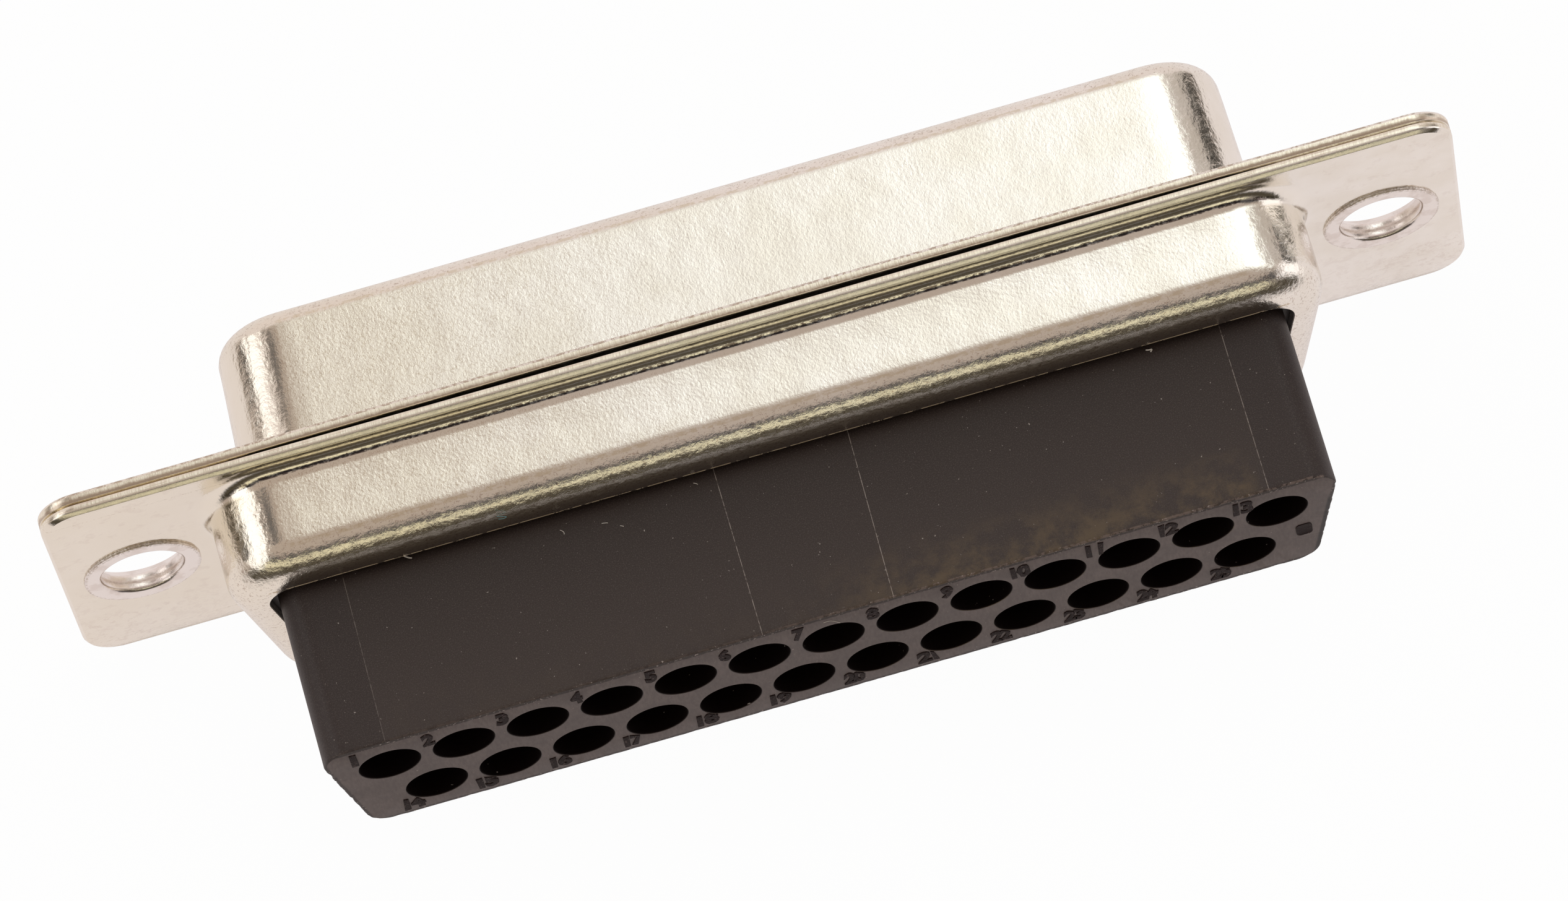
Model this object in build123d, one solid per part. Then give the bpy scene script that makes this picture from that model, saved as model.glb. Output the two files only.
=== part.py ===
from build123d import *
import os
from math import cos, radians, tan

# A 25 way D-sub connector: the socket housing for crimp contacts, with its cavities empty.
# Two drawn steel shells, flange to flange, hold two moulded insulators between them, and
# a sheet-metal clip sits in each contact cavity. Two eyelets rivet the flanges together.
# +X runs along the flange and +Y is the mating direction, away from the contact entry.
# +Z points to the wide side of the D. All sizes are in millimetres.
# The origin is the centre of the front flange's mating face, where a panel would lie.

# Contact pattern: two staggered rows, the longer one on the wide side
contact_pitch = 2.77
row_spacing = 2.84
wide_row_count = 13

# Sheet metal
sheet_thickness = 0.40
flange_gap = 0.07
side_angle = 10.0
root_radius = 0.60

# Front shell, measured from the contact pattern
front_end_margin = 2.57
front_side_margin = 2.53
front_depth = 6.10
front_edge_radius = 0.90
front_lip = 0.20
shell_corner_radius = 2.60

# Rear shell, measured from the front shell
rear_step = 1.41
rear_depth = 4.92
rear_edge_radius = 1.25
opening_gap = 0.35

# Flange, measured from the rear shell
mounting_setback = 2.92
ear_end = 3.00
flange_land = 0.29
flange_corner_radius = 1.50

# Eyelets
eyelet_bore_radius = 1.55
eyelet_wall = 0.35
eyelet_rim = 0.30
eyelet_rear_head = 0.20
eyelet_flare = 0.30
eyelet_mouth_radius = 0.18
eyelet_clearance = 0.02

# Insulators
body_end_margin = 2.30
body_side_margin = 2.055
body_corner_radius = 1.00
body_edge_radius = 0.08
body_length = 11.62
shoulder_length = 2.12
insulator_clearance = 0.05
nose_clearance = 0.06
nose_proud = 0.10

# Contact cavities: a wide mouth at the rear, then one bore for the contact's barrel that
# runs through a throat, the clip and the front insulator, and a pin hole at the front
cavity_radius = 1.12
cavity_chamfer = 0.06
barrel_bore_radius = 0.95
throat_length = 0.80
pin_hole_radius = 0.62
pin_hole_funnel = 0.28
pin_hole_length = 1.10

# Retention clips, rolled from strip
clip_length = 3.80
clip_wall = 0.12
clip_clearance = 0.03
clip_slit = 0.40
clip_rear_band = 0.90
tine_length = 1.90
tine_reach = 0.24
tine_sweep = 56.0
tine_side_gap = 8.0
tine_end_gap = 0.30

# Sizes that follow from the ones above
pattern_width = contact_pitch * (wide_row_count - 1)
front_width = pattern_width + 2 * front_end_margin
front_height = row_spacing + 2 * front_side_margin
rear_width = front_width + 2 * rear_step
rear_height = front_height + 2 * rear_step
mounting_pitch = rear_width + 2 * mounting_setback
flange_length = mounting_pitch + 2 * ear_end
flange_height = rear_height + 2 * (root_radius + flange_land)
body_width = pattern_width + 2 * body_end_margin
body_height = row_spacing + 2 * body_side_margin
eyelet_hole_radius = eyelet_bore_radius + eyelet_wall + eyelet_clearance

# Planes across the mating direction, from the front face to the rear face
front_flange_rear = -sheet_thickness
rear_flange_front = front_flange_rear - flange_gap
rear_flange_rear = rear_flange_front - sheet_thickness
rear_lip_inside = sheet_thickness - rear_depth
insulator_joint = rear_lip_inside + shoulder_length
clip_seat = insulator_joint - clip_clearance - clip_length
throat_rear = clip_seat - throat_length
front_lip_inside = front_depth - sheet_thickness
nose_face = front_depth + nose_proud


def d_outline(width, height, corner_radius):
    """D outline, wide side up. The width is measured across the rounded corners."""
    slope = tan(radians(side_angle))
    slant = corner_radius / cos(radians(side_angle))
    middle = width / 2 - corner_radius - (height / 2 - corner_radius) * slope + slant
    wide = middle + height / 2 * slope
    narrow = middle - height / 2 * slope
    corners = [
        (-narrow, -height / 2),
        (narrow, -height / 2),
        (wide, height / 2),
        (-wide, height / 2),
    ]
    outline = Polygon(*corners, align=None)
    return fillet(outline.vertices(), corner_radius)


def prism(outline, rear, front):
    """The outline, extruded along the mating direction between two planes."""
    return extrude(Plane.XZ.offset(-front) * outline, amount=front - rear)


def rod(radius, rear, front, x=0, z=0):
    """A round bar along the mating direction."""
    return prism(Pos(x, z) * Circle(radius), rear, front)


def flare(radius, x):
    """A cone that widens at 45 degrees up to the front flange's mating face."""
    cone = Cone(radius, radius + eyelet_flare, eyelet_flare)
    return Pos(x, -eyelet_flare / 2, 0) * Rot(-90, 0, 0) * cone


def edges_around(solid, y, width, height):
    """The edges in the plane at y that lie within a D of this width and height."""
    reach = 0.01
    return [
        edge
        for edge in solid.edges().filter_by_position(Axis.Y, y - reach, y + reach)
        if abs(edge.center().X) < width / 2 + reach and abs(edge.center().Z) < height / 2 + reach
    ]


def drawn_shell(width, height, flange, lip_face, lip_radius, opening):
    """One sheet, drawn into a D cup with a flange at its mouth and a window in its end.

    flange holds the y of the flange's face on the cup's side, then of its other face.
    """
    cup_side, mouth_side = flange
    outward = 1 if lip_face > cup_side else -1
    lip_inside = lip_face - outward * sheet_thickness
    inner_width = width - 2 * sheet_thickness
    inner_height = height - 2 * sheet_thickness
    inner_corner = shell_corner_radius - sheet_thickness

    plate = RectangleRounded(flange_length, flange_height, flange_corner_radius)
    shell = prism(plate, min(flange), max(flange))
    outer = d_outline(width, height, shell_corner_radius)
    shell += prism(outer, min(mouth_side, lip_face), max(mouth_side, lip_face))
    shell = fillet(edges_around(shell, cup_side, width, height), root_radius)
    shell = fillet(edges_around(shell, lip_face, width, height), lip_radius)

    inner = d_outline(inner_width, inner_height, inner_corner)
    pocket = prism(inner, min(mouth_side, lip_inside), max(mouth_side, lip_inside))
    pocket = fillet(edges_around(pocket, lip_inside, width, height), lip_radius - sheet_thickness)
    shell -= pocket
    mouth_radius = root_radius + sheet_thickness
    shell = fillet(edges_around(shell, mouth_side, inner_width, inner_height), mouth_radius)

    shell -= prism(opening, min(lip_inside, lip_face), max(lip_inside, lip_face))
    for side in (-1, 1):
        shell -= rod(eyelet_hole_radius, min(flange), max(flange), x=side * mounting_pitch / 2)
    return shell


def front_shell():
    reach = front_edge_radius + front_lip
    corner = shell_corner_radius - reach
    opening = d_outline(front_width - 2 * reach, front_height - 2 * reach, corner)
    flange = (0, front_flange_rear)
    size = (front_width, front_height)
    shell = drawn_shell(*size, flange, front_depth, front_edge_radius, opening)
    # Each eyelet's flare sinks into the sheet, so that the mating face stays flat.
    for side in (-1, 1):
        shell -= flare(eyelet_hole_radius, side * mounting_pitch / 2)
    return shell


def rear_shell():
    opening_width = body_width + 2 * opening_gap
    opening_height = body_height + 2 * opening_gap
    opening = d_outline(opening_width, opening_height, body_corner_radius)
    flange = (rear_flange_rear, rear_flange_front)
    return drawn_shell(rear_width, rear_height, flange, -rear_depth, rear_edge_radius, opening)


def eyelet(side):
    """A tube with a rolled rim behind the ears and a flare sunk into the front flange."""
    shank = eyelet_bore_radius + eyelet_wall
    rim = shank + eyelet_rim
    x = side * mounting_pitch / 2
    rear = rear_flange_rear - eyelet_rear_head
    body = rod(shank, rear, 0, x=x)
    body += rod(rim, rear, rear_flange_rear, x=x)
    body += flare(shank, x)
    body -= rod(eyelet_bore_radius, rear, 0, x=x)
    mouth = body.edges().filter_by_position(Axis.Y, rear - 0.01, rear + 0.01)
    body = fillet(mouth.sort_by(SortBy.LENGTH)[0], eyelet_mouth_radius)
    outer = body.edges().filter_by_position(Axis.Y, rear - 0.01, rear + 0.01)
    return fillet(outer.sort_by(SortBy.LENGTH)[-1], eyelet_rear_head / 3)


def contact_places():
    """The 25 cavity centres as (x, z), the wide row first, both rows from -X to +X."""
    wide = [
        (contact_pitch * (i - (wide_row_count - 1) / 2), row_spacing / 2)
        for i in range(wide_row_count)
    ]
    narrow = [(x + contact_pitch / 2, -row_spacing / 2) for x, z in wide[:-1]]
    return wide + narrow


def shoulder_outline():
    """The D that fills the rear shell, less the running clearance."""
    wall = sheet_thickness + insulator_clearance
    corner = shell_corner_radius - wall
    return d_outline(rear_width - 2 * wall, rear_height - 2 * wall, corner)


def hole_rims(solid, y, radius):
    """The circles of this radius in the plane at y."""
    in_plane = solid.edges().filter_by_position(Axis.Y, y - 0.01, y + 0.01)
    circles = in_plane.filter_by(GeomType.CIRCLE)
    return circles.filter_by(lambda edge: edge.is_closed and abs(edge.radius - radius) < 0.01)


def front_insulator():
    """Block inside the front shell, with a shoulder clamped behind the front flange."""
    wall = sheet_thickness + insulator_clearance
    width = front_width - 2 * wall
    height = front_height - 2 * wall
    outline = d_outline(width, height, shell_corner_radius - wall)
    block = prism(outline, front_flange_rear, front_lip_inside)
    edge_radius = front_edge_radius - sheet_thickness + insulator_clearance
    block = fillet(edges_around(block, front_lip_inside, width, height), edge_radius)
    block += prism(shoulder_outline(), insulator_joint, front_flange_rear)
    block = fillet(edges_around(block, front_flange_rear, width, height), root_radius)

    reach = front_edge_radius + front_lip + nose_clearance
    corner = shell_corner_radius - reach
    nose = d_outline(front_width - 2 * reach, front_height - 2 * reach, corner)
    block += prism(nose, front_lip_inside, nose_face)

    bore_end = nose_face - pin_hole_length
    for x, z in contact_places():
        block -= rod(barrel_bore_radius, insulator_joint, bore_end, x, z)
        block -= rod(pin_hole_radius, bore_end, nose_face, x, z)
    return chamfer(hole_rims(block, nose_face, pin_hole_radius), pin_hole_funnel)


def rear_insulator():
    """Black body behind the flanges, with a shoulder that rests on the rear shell's lip."""
    wall = sheet_thickness + insulator_clearance
    outline = shoulder_outline()
    body = prism(outline, rear_lip_inside, insulator_joint)
    edge_radius = rear_edge_radius - sheet_thickness + insulator_clearance
    shoulder_rim = edges_around(body, rear_lip_inside, rear_width - wall, rear_height - wall)
    body = fillet(shoulder_rim, edge_radius)
    tail = d_outline(body_width, body_height, body_corner_radius)
    body += prism(tail, -body_length, rear_lip_inside)
    body = fillet(edges_around(body, -body_length, body_width, body_height), body_edge_radius)

    pocket_radius = barrel_bore_radius + clip_wall + clip_clearance
    for x, z in contact_places():
        body -= rod(cavity_radius, -body_length, throat_rear, x, z)
        body -= rod(barrel_bore_radius, throat_rear, clip_seat, x, z)
        body -= rod(pocket_radius, clip_seat, insulator_joint, x, z)
    return chamfer(hole_rims(body, -body_length, cavity_radius), cavity_chamfer)


def turned(profile, sweep, facing):
    """The profile, drawn as radius against y, swept about the y axis and centred on an angle."""
    return Rot(0, facing - sweep / 2, 0) * revolve(profile, Axis.Y, sweep)


def contact_clip():
    """Rolled spring sleeve, slit along its length, with two tines that lean in and forward."""
    inner = barrel_bore_radius
    outer = inner + clip_wall
    front = clip_seat + clip_length
    root = clip_seat + clip_rear_band
    tip = root + tine_length
    clip = rod(outer, clip_seat, front) - rod(inner, clip_seat, front)
    clip -= prism(Pos(0, outer) * Rectangle(clip_slit, outer), clip_seat, front)

    opening = Polygon(
        (inner / 2, root),
        (outer + clip_wall, root),
        (outer + clip_wall, tip + tine_end_gap),
        (inner / 2, tip + tine_end_gap),
        align=None,
    )
    blade = Polygon(
        (inner, root),
        (outer, root),
        (outer - tine_reach, tip),
        (inner - tine_reach, tip),
        align=None,
    )
    for facing in (0, 180):
        clip -= turned(opening, tine_sweep + 2 * tine_side_gap, facing)
        clip += turned(blade, tine_sweep, facing)
    return clip


os.makedirs("parts", exist_ok=True)
export_step(front_shell(), "parts/front_shell.step")
export_step(rear_shell(), "parts/rear_shell.step")
export_step(eyelet(-1), "parts/eyelet_left.step")
export_step(eyelet(1), "parts/eyelet_right.step")
export_step(front_insulator(), "parts/front_insulator.step")
export_step(rear_insulator(), "parts/rear_insulator.step")
clip = contact_clip()
for number, (x, z) in enumerate(contact_places(), start=1):
    export_step(Pos(x, 0, z) * clip, f"parts/contact_clip_{number:02d}.step")
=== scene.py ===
# %% [markdown]
# # A 25 way D-sub connector, seen from its wiring side
#
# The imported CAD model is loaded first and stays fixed. The pieces that the photograph shows
# close up are then built again, with finer edges than a solid model needs: both drawn
# shells, the two eyelets and the black housing. Lengths are in millimetres until a piece is
# finished, because sheet metal and mouldings are drawn in millimetres.

# %% Load the fixed frame
import math
import bmesh
import bpy
from mathutils import Matrix, Vector, noise


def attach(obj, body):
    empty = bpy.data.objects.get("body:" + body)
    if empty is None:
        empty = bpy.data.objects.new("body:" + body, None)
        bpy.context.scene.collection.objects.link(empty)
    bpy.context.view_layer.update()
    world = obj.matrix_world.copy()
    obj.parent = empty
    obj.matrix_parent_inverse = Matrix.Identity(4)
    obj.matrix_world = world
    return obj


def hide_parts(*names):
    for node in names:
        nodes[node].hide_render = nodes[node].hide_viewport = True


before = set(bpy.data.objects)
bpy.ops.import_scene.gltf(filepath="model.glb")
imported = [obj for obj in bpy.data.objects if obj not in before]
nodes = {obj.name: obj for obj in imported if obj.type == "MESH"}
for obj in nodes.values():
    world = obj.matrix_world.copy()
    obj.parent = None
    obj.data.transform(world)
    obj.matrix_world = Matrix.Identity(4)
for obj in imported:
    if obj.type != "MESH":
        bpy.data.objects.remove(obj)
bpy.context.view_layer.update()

# %% [markdown]
# ## Sizes
#
# The pieces share flanges, holes and gaps, so one table of plain sizes keeps them fitting
# each other. +X runs along the flange, +Y is the mating direction and +Z the wide side of
# the D. The plane y 0 is the mating face of the front flange. A flange is given by two
# places along y: its face beside the cup, then its other face.

# %% Sizes shared by the pieces
PITCH, ROWS = 2.77, 2.84
SHEET = 0.40
SLANT = 0.176
HOLE_X, HOLE_R = 23.52, 1.92
FLANGE_X, FLANGE_Z, FLANGE_R = 53.04, 12.50, 1.50
SHELL_R, ROOT_R = 2.60, 0.60
FRONT_W, FRONT_H, FRONT_Y, FRONT_R = 38.38, 7.90, 6.10, 0.90
REAR_W, REAR_H, REAR_Y, REAR_R = 41.20, 10.72, -4.92, 1.25
FRONT_FLANGE, REAR_FLANGE = (0.0, -SHEET), (-0.87, -0.47)
BODY_W, BODY_H, BODY_R, BODY_Y = 37.84, 6.95, 1.00, -11.58
SHOULDER_Y, JOINT_Y = -4.52, -2.40
wide_row = [(PITCH * (i - 6), ROWS / 2) for i in range(13)]
narrow_row = [(PITCH * (i - 5.5), -ROWS / 2) for i in range(12)]
CAVITIES = wide_row + narrow_row
print("cavities", len(CAVITIES), "and the D's ends lean", SLANT, "for each mm of height")

# %% [markdown]
# ## Outlines
#
# The shells and the housing are D shaped, the flange is a rectangle, and holes are round.
# Each outline is a ring: a circle from create_circle, pressed point by point into its shape.
# A bevel could round the corners, but the worn edges that follow need many points on each
# straight side too.


# %% Outlines
def rounded(corners, radius, arc, cuts):
    """Points round a polygon with rounded corners: arc steps a corner, cuts points a side."""
    points = []
    count = len(corners)
    for i in range(count):
        here, before, after = (Vector(corners[j % count]) for j in (i, i - 1, i + 1))
        to_before, to_after = (before - here).normalized(), (after - here).normalized()
        half = to_before.angle(to_after) / 2
        reach = radius / math.tan(half)
        centre = here + (to_before + to_after).normalized() * radius / math.sin(half)
        start, end = here + to_before * reach - centre, here + to_after * reach - centre
        turn = start.angle_signed(end)
        points += [centre + Matrix.Rotation(-turn * k / arc, 2) @ start for k in range(arc + 1)]
        target = Vector(corners[(i + 1) % count])
        ahead = (here - target).normalized()
        after_next = (Vector(corners[(i + 2) % count]) - target).normalized()
        reach = radius / math.tan(ahead.angle(after_next) / 2)
        last, goal = points[-1], target + ahead * reach
        points += [last.lerp(goal, k / (cuts[i] + 1)) for k in range(1, cuts[i] + 1)]
    return points


def ring_of(bm, points, y):
    """A circle with one vertex for each point, pressed into that outline in the plane at y."""
    ring = bmesh.ops.create_circle(bm, cap_ends=False, segments=len(points), radius=1)["verts"]
    for v, (x, z) in zip(ring, points):
        v.co = (x, y, z)
    return ring


def d_ring(bm, width, height, corner, y, arc=12, cuts=(48, 9, 48, 9)):
    """D outline with its wide side up: sides lean 10 degrees, and width counts the corners."""
    lean = math.radians(10)
    middle = width / 2 - corner - (height / 2 - corner) * math.tan(lean) + corner / math.cos(lean)
    wide, narrow = (middle + s * height / 2 * math.tan(lean) for s in (1, -1))
    top = height / 2
    corners = [(-narrow, -top), (narrow, -top), (wide, top), (-wide, top)]
    return ring_of(bm, rounded(corners, corner, arc, cuts), y)


def box_ring(bm, width, height, corner, y, arc=10, cuts=(60, 9, 60, 9)):
    """Rectangle outline with rounded corners."""
    x, z = width / 2, height / 2
    return ring_of(bm, rounded([(-x, -z), (x, -z), (x, z), (-x, z)], corner, arc, cuts), y)


def circle_ring(bm, x, z, radius, y, segments=64):
    """Round outline about an axis along y."""
    turn = Matrix.Translation((x, y, z)) @ Matrix.Rotation(math.pi / 2, 4, "X")
    return bmesh.ops.create_circle(bm, cap_ends=False, segments=segments, radius=radius,
                                   matrix=turn)["verts"]


# %% [markdown]
# ## Sweeping an outline through a profile
#
# A drawn sheet or a moulded wall is one outline pulled along a profile. A Curve with a bevel
# object could do it, but it would round the D's corners in its own way. So a sweep extrudes
# the ring again and again, and moves each copy outwards by the profile's offset. An offset
# of an arc is an arc, so the corners stay round, as they do over a drawing punch.


# %% Profiles and sweeps
def arc_path(out, y, radius, start, end, steps):
    """Points of a fillet as (out, y). Angles run from the outward direction to +y."""
    turns = [math.radians(start + (end - start) * i / steps) for i in range(steps + 1)]
    return [(out + radius * math.cos(t), y + radius * math.sin(t)) for t in turns]


def edges_of(ring):
    """The edges that join a ring's vertices in order."""
    pairs = zip(ring, ring[1:] + ring[:1])
    return [next(e for e in a.link_edges if e.other_vert(a) is b) for a, b in pairs]


def outward(ring):
    """Each vertex's outward direction in the ring's plane."""
    centre = sum((v.co for v in ring), Vector()) / len(ring)
    found = []
    for before, v, after in zip(ring[-1:] + ring[:-1], ring, ring[1:] + ring[:1]):
        a = (v.co - before.co).normalized()
        b = (after.co - v.co).normalized()
        n = Vector((a.z + b.z, 0, -a.x - b.x)).normalized()
        n /= max(n.dot(Vector((a.z, 0, -a.x))), 0.5)
        found.append(n)
    if sum(n.dot(v.co - centre) for n, v in zip(found, ring)) < 0:
        found = [-n for n in found]
    return found


def sweep(bm, ring, path):
    """Extrude the ring through a profile of (out, y) points. Returns every ring made."""
    sides = outward(ring)
    base = [v.co.copy() for v in ring]
    rings = [ring]
    for out, y in path:
        grown = bmesh.ops.extrude_edge_only(bm, edges=edges_of(rings[-1]))["geom"]
        new = {g for g in grown if isinstance(g, bmesh.types.BMVert)}
        copy = [next(e.other_vert(v) for e in v.link_edges if e.other_vert(v) in new)
                for v in rings[-1]]
        for v, start, side in zip(copy, base, sides):
            v.co = start + side * out
            v.co.y = y
        rings.append(copy)
    return rings


def sweep_profile(bm, ring, profile):
    """Widen the ring to the profile's first point, then sweep it through the others."""
    first = profile[0][0]
    for v, side in zip(ring, outward(ring)):
        v.co += side * first
    return sweep(bm, ring, [(out - first, y) for out, y in profile[1:]])


def fill_between(bm, rings):
    """Fill the flat area that the first ring bounds and the others cut out."""
    edges = [e for ring in rings for e in edges_of(ring)]
    made = bmesh.ops.triangle_fill(bm, use_beauty=True, use_dissolve=False, edges=edges,
                                   normal=(0, 1, 0))["geom"]
    return [g for g in made if isinstance(g, bmesh.types.BMFace)]


# %% [markdown]
# ## Handing a finished piece over
#
# Every piece ends the same way: doubles merged, faces turned outwards, millimetres turned
# into metres, and its own object at the origin. The count of open edges is printed, because
# a closed piece has none.


# %% Finish a piece
def finish_piece(bm, name, materials, node=None):
    """Close the piece, put it in metres and hand it to the frame, for a CAD node if it has one."""
    bmesh.ops.remove_doubles(bm, verts=bm.verts, dist=1e-5)
    bmesh.ops.recalc_face_normals(bm, faces=bm.faces)
    open_edges = sum(1 for e in bm.edges if len(e.link_faces) != 2)
    bmesh.ops.scale(bm, vec=(0.001, 0.001, 0.001), verts=bm.verts)
    mesh = bpy.data.meshes.new(name)
    bm.to_mesh(mesh)
    bm.free()
    for m in materials:
        mesh.materials.append(m)
    mesh.shade_smooth()
    mesh.set_sharp_from_angle(angle=math.radians(32))
    piece = bpy.data.objects.new(name, mesh)
    bpy.context.scene.collection.objects.link(piece)
    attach(piece, "root")
    if node:
        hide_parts(node)
    tris = sum(len(p.vertices) - 2 for p in mesh.polygons)
    print(name, "triangles", tris, "open edges", open_edges)
    return piece


# %% [markdown]
# ## Tools for materials
#
# A material is a tree of small nodes. These helpers make a node or two each, so a finish
# reads as a few sentences. A mask runs from 0 to 1: masks are multiplied where both must
# hold, and the largest is taken where either may.


# %% Node tools
class Nodes:
    """Short calls that build a node tree."""

    def __init__(self, tree):
        self.tree = tree

    def add(self, kind, **settings):
        node = self.tree.nodes.new(kind)
        for key, value in settings.items():
            setattr(node, key, value)
        return node

    def link(self, source, socket):
        self.tree.links.new(source, socket)

    def put(self, value, socket):
        """Link an output, or set a plain number, vector or colour."""
        if isinstance(value, bpy.types.NodeSocket):
            self.link(value, socket)
        elif value is not None:
            socket.default_value = (*value, 1) if socket.type == "RGBA" else value

    def vector(self, operation, a, b=None, scale=None):
        node = self.add("ShaderNodeVectorMath", operation=operation)
        self.put(a, node.inputs[0])
        self.put(b, node.inputs[1])
        self.put(scale, node.inputs[3])
        return node.outputs[0]

    def math(self, operation, a, b=None, c=None):
        node = self.add("ShaderNodeMath", operation=operation)
        for value, socket in zip((a, b, c), node.inputs):
            self.put(value, socket)
        return node.outputs[0]

    def times(self, first, *others):
        """The product of masks and numbers."""
        for other in others:
            first = self.math("MULTIPLY", first, other)
        return first

    def most(self, first, *others):
        """The largest of several masks."""
        for other in others:
            first = self.math("MAXIMUM", first, other)
        return first

    def off(self, value, centre=None):
        """How far a value lies from a centre, or from 0."""
        if centre is not None:
            value = self.math("SUBTRACT", value, centre)
        return self.math("ABSOLUTE", value)

    def step(self, value, low, high, to_low=0.0, to_high=1.0, smooth=True):
        """A ramp between two levels of a value, which stays at its ends beyond them."""
        node = self.add("ShaderNodeMapRange", clamp=True,
                        interpolation_type="SMOOTHSTEP" if smooth else "LINEAR")
        for item, socket in zip((value, low, high, to_low, to_high), node.inputs):
            self.put(item, socket)
        return node.outputs[0]

    def mix(self, amount, a, b):
        node = self.add("ShaderNodeMix", data_type="RGBA")
        self.put(amount, node.inputs[0])
        self.put(a, node.inputs[6])
        self.put(b, node.inputs[7])
        return node.outputs[2]


# %% [markdown]
# ## Surface materials
#
# Every finish reads Object coordinates, turned into millimetres, so a grain of 0.1 mm is
# written as 0.1 mm and stays where it is on the piece. A swing is noise about zero: a mask
# can end it with no step in the surface, where plain noise would leave a stitch line.


# %% Surface materials
class Shader(Nodes):
    """A surface material drawn in millimetres of object space."""

    def __init__(self, name):
        self.material = bpy.data.materials.new(name)
        self.material.use_nodes = True
        super().__init__(self.material.node_tree)
        self.bsdf = self.tree.nodes["Principled BSDF"]
        coords = self.add("ShaderNodeTexCoord")
        self.mm = self.vector("SCALE", coords.outputs["Object"], scale=1000)
        split = self.add("ShaderNodeSeparateXYZ")
        self.link(self.mm, split.inputs[0])
        self.x, self.y, self.z = split.outputs

    def noise(self, scale, stretch=(1, 1, 1), detail=2.0, rough=0.5, twist=0.0, shift=(0, 0, 0)):
        place = self.vector("MULTIPLY", self.vector("ADD", self.mm, shift), stretch)
        node = self.add("ShaderNodeTexNoise")
        self.put(place, node.inputs["Vector"])
        node.inputs["Scale"].default_value = scale
        node.inputs["Detail"].default_value = detail
        node.inputs["Roughness"].default_value = rough
        node.inputs["Distortion"].default_value = twist
        return node.outputs["Fac"]

    def swing(self, scale, **look):
        """Noise about zero."""
        return self.math("SUBTRACT", self.noise(scale, **look), 0.5)

    def spots(self, scale, low, high, to_low=0.0, to_high=1.0, **look):
        """Noise cut at two levels, which leaves spots with soft edges."""
        return self.step(self.noise(scale, **look), low, high, to_low, to_high)

    def uneven(self, value, amount, scale, **look):
        """A value with noise added, so that a line drawn at one level of it wanders."""
        return self.math("MULTIPLY_ADD", self.noise(scale, **look), amount, value)

    def bump(self, height, distance, normal=None):
        node = self.add("ShaderNodeBump")
        node.inputs["Strength"].default_value = 1.0
        node.inputs["Distance"].default_value = distance / 1000
        self.put(height, node.inputs["Height"])
        self.put(normal, node.inputs["Normal"])
        return node.outputs["Normal"]

    def finish(self, color, roughness, metallic=0.0, normal=None, **more):
        self.put(color, self.bsdf.inputs["Base Color"])
        self.put(roughness, self.bsdf.inputs["Roughness"])
        self.put(metallic, self.bsdf.inputs["Metallic"])
        self.put(normal, self.bsdf.inputs["Normal"])
        for key, value in more.items():
            self.put(value, self.bsdf.inputs[key.replace("_", " ")])
        print(self.material.name, "nodes", len(self.tree.nodes))
        return self.material


# %% [markdown]
# ## Plated steel
#
# The sheet is tin plated. Drawing it over a punch leaves an orange peel, which is fine on
# the flat faces, and crinkles and dents where the metal was bent most. An image of scratches
# would repeat, so masks say where the sheet is flat, bent or near an end, and each kind of
# wear is noise kept to its mask. top is |z| of a shell's flat faces, and side is the level
# of its leaning ends, |x| less the lean at that height.


# %% Where the sheet was worked
class Plating(Shader):
    """Tin plating over one drawn shell, with masks of its flat, bent and end places."""

    def __init__(self, name, top, side):
        super().__init__(name)
        self.top, self.side = top, side
        self.height = self.off(self.z)
        self.lean = self.math("MULTIPLY_ADD", self.z, -SLANT, self.off(self.x))
        self.level = self.times(self.step(self.height, top - 0.07, top - 0.015),
                                self.step(self.height, top + 0.06, top + 0.02))
        slant = self.step(self.lean, side - 0.07, side - 0.015)
        self.flange = self.step(self.off(self.y, -0.43), 0.62, 0.50)
        flat = self.most(self.level, slant, self.flange)
        self.bent = self.step(flat, 0.0, 1.0, 1.0, 0.0)
        self.ends = self.most(self.step(self.y, 5.0, 5.5), self.step(self.y, -3.6, -4.1))
        self.roots = self.step(self.off(self.y, -1.22), 0.34, 0.22)


# %% Relief of the plating
def plating_relief(s):
    """A slow swell and a fine grain everywhere, crinkles and dents only where it was bent."""
    swell = s.noise(0.8, detail=1.0, shift=(7, 3, 1))
    grain = s.noise(9.0, stretch=(1, 0.75, 1), detail=3.0, rough=0.6, twist=0.25)
    crinkle = s.swing(7.0, stretch=(0.5, 0.6, 0.8), detail=4.0, rough=0.62, twist=0.3)
    crinkle = s.times(crinkle, s.bent, s.step(s.ends, 0.0, 1.0, 0.7, 0.8),
                      s.step(s.roots, 0.0, 1.0, 1.0, 0.20))
    dents = s.swing(2.6, stretch=(1, 0.6, 1), detail=2.0, shift=(5, 5, 1))
    dents = s.times(dents, s.bent, s.step(s.roots, 0.0, 1.0, 1.0, 0.0))
    bend = s.bump(swell, 0.010)
    for height, distance in ((grain, 0.0054), (crinkle, 0.022), (dents, 0.020)):
        bend = s.bump(height, distance, normal=bend)
    return bend


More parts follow.
